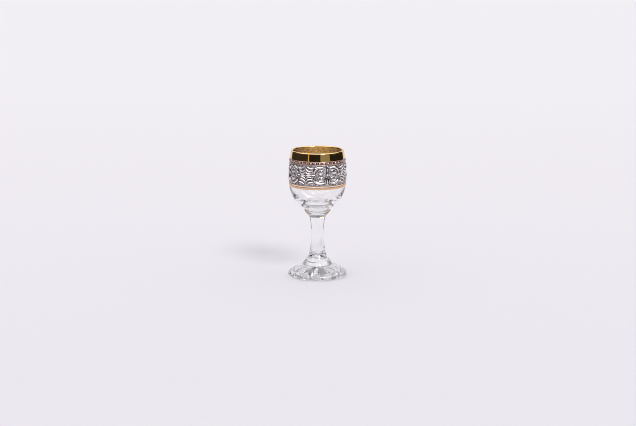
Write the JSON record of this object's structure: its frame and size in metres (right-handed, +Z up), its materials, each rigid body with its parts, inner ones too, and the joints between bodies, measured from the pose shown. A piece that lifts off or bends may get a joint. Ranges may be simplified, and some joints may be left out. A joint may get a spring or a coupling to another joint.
{
  "type": "vodka glass",
  "caption": "Short-stemmed vodka glass with a barrel bowl, gilded rim, beaded border and silver scroll frieze, on a waisted stem and a round foot with a star cut underneath.",
  "frame": {"origin": "middle of the ring that the foot stands on, on the table", "axes": "+Z up along the axis of the glass; the front shown in the picture faces -Y"},
  "size_m": [0.0476, 0.0476, 0.1029],
  "materials": {
    "clear_glass": "clear colourless pressed glass, fire-polished",
    "gilding": "bright fired gold, mirror-like",
    "rose_gold": "fired gold over silver, a rosy satin",
    "silver_ground": "fired silver, dulled",
    "silver_relief": "bright fired silver relief"
  },
  "bodies": {
    "root": {"foot": "clear_glass", "stem": "clear_glass", "bowl": "clear_glass", "lip_gilding": "gilding", "gold_rim_band": "gilding", "thin_gold_line": "gilding", "broad_gold_line": "gilding", "bead_border": "rose_gold", "frieze_ground": "silver_ground", "scroll_left_1": "silver_relief", "scroll_left_2": "silver_relief", "scroll_left_3": "silver_relief", "scroll_left_4": "silver_relief", "scroll_right_1": "silver_relief", "scroll_right_2": "silver_relief", "scroll_right_3": "silver_relief", "scroll_right_4": "silver_relief", "leaf_left_1": "silver_relief", "leaf_left_2": "silver_relief", "leaf_left_3": "silver_relief", "leaf_left_4": "silver_relief", "leaf_right_1": "silver_relief", "leaf_right_2": "silver_relief", "leaf_right_3": "silver_relief", "leaf_right_4": "silver_relief", "boss_left_upper_1": "silver_relief", "boss_left_upper_2": "silver_relief", "boss_left_upper_3": "silver_relief", "boss_left_upper_4": "silver_relief", "boss_left_lower_1": "silver_relief", "boss_left_lower_2": "silver_relief", "boss_left_lower_3": "silver_relief", "boss_left_lower_4": "silver_relief", "boss_right_upper_1": "silver_relief", "boss_right_upper_2": "silver_relief", "boss_right_upper_3": "silver_relief", "boss_right_upper_4": "silver_relief", "boss_right_lower_1": "silver_relief", "boss_right_lower_2": "silver_relief", "boss_right_lower_3": "silver_relief", "boss_right_lower_4": "silver_relief", "drop_1": "silver_relief", "drop_2": "silver_relief", "drop_3": "silver_relief", "drop_4": "silver_relief"}
  },
  "joints": []
}
